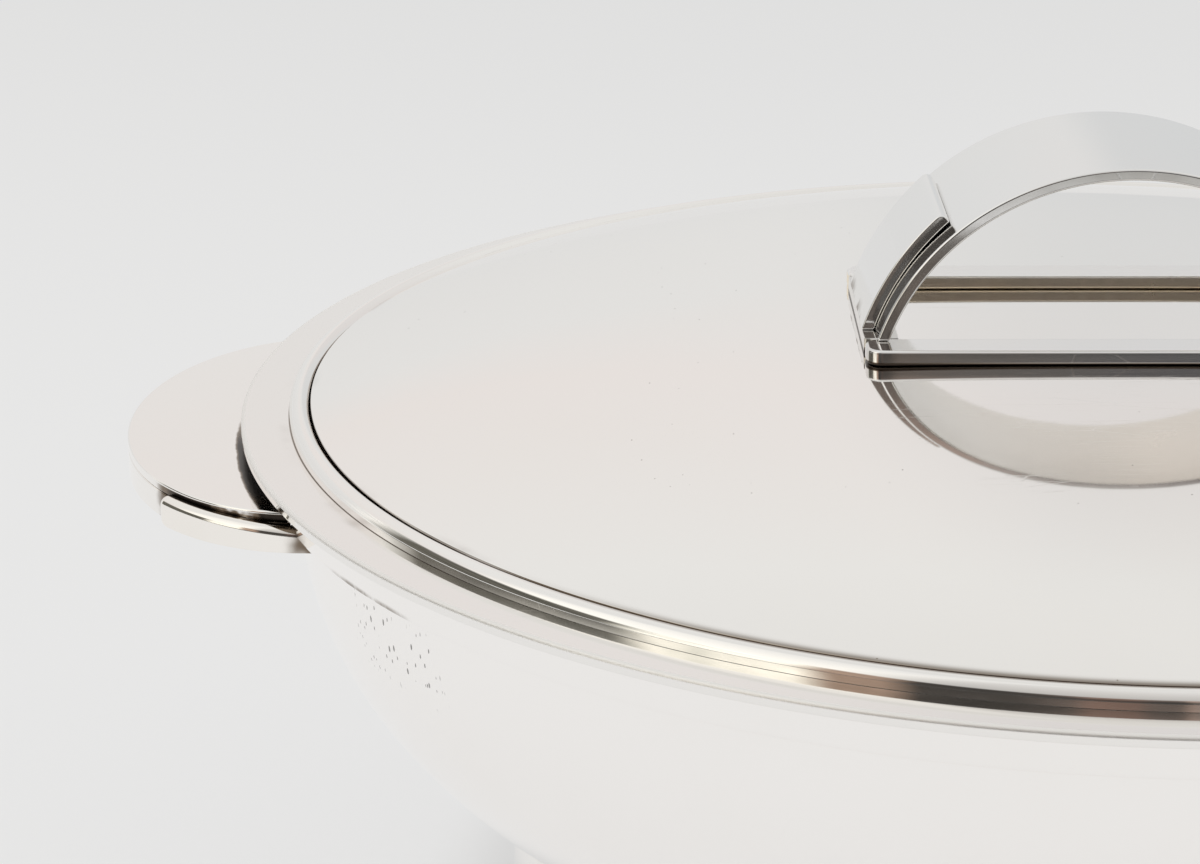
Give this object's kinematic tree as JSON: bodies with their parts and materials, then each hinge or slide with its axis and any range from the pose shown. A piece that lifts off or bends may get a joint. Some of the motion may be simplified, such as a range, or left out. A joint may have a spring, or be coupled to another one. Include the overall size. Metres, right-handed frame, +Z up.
{
  "type": "soup tureen",
  "caption": "Round covered tureen with a ring foot, flat rim, two ear handles, and a shallow crowned lid with an arched strip finial.",
  "frame": {"origin": "centre of the foot ring's lower face, on the table", "axes": "+X along the line through both handles, towards the right handle; +Z up; the front is towards -Y"},
  "size_m": [0.272, 0.24, 0.1125],
  "materials": {
    "polished_silver": "polished silver plate, lightly worn and tarnished in the crevices"
  },
  "bodies": {
    "bowl": {"bowl_shell": "polished_silver", "bowl_rim": "polished_silver", "bowl_band": "polished_silver", "foot_ring": "polished_silver", "left_handle_plate": "polished_silver", "left_handle_skirt": "polished_silver", "left_handle_strap_front": "polished_silver", "left_handle_strap_back": "polished_silver", "right_handle_plate": "polished_silver", "right_handle_skirt": "polished_silver", "right_handle_strap_front": "polished_silver", "right_handle_strap_back": "polished_silver"},
    "collar": {"lid_collar": "polished_silver"},
    "lid": {"lid_dome": "polished_silver", "lid_bead": "polished_silver", "finial_arch": "polished_silver", "finial_strap_left": "polished_silver", "finial_strap_right": "polished_silver", "finial_bar_front": "polished_silver", "finial_bar_back": "polished_silver", "finial_end_left": "polished_silver", "finial_end_right": "polished_silver"}
  },
  "joints": [
    {"name": "lid_lift", "type": "slide", "parent": "bowl", "child": "collar", "axis": [0, 0, 1], "range_m": [0, 0.1]},
    {"name": "lid_turn", "type": "hinge", "parent": "collar", "child": "lid", "pos_m": [0, 0, 0.0765], "axis": [0, 0, 1], "continuous": true}
  ]
}
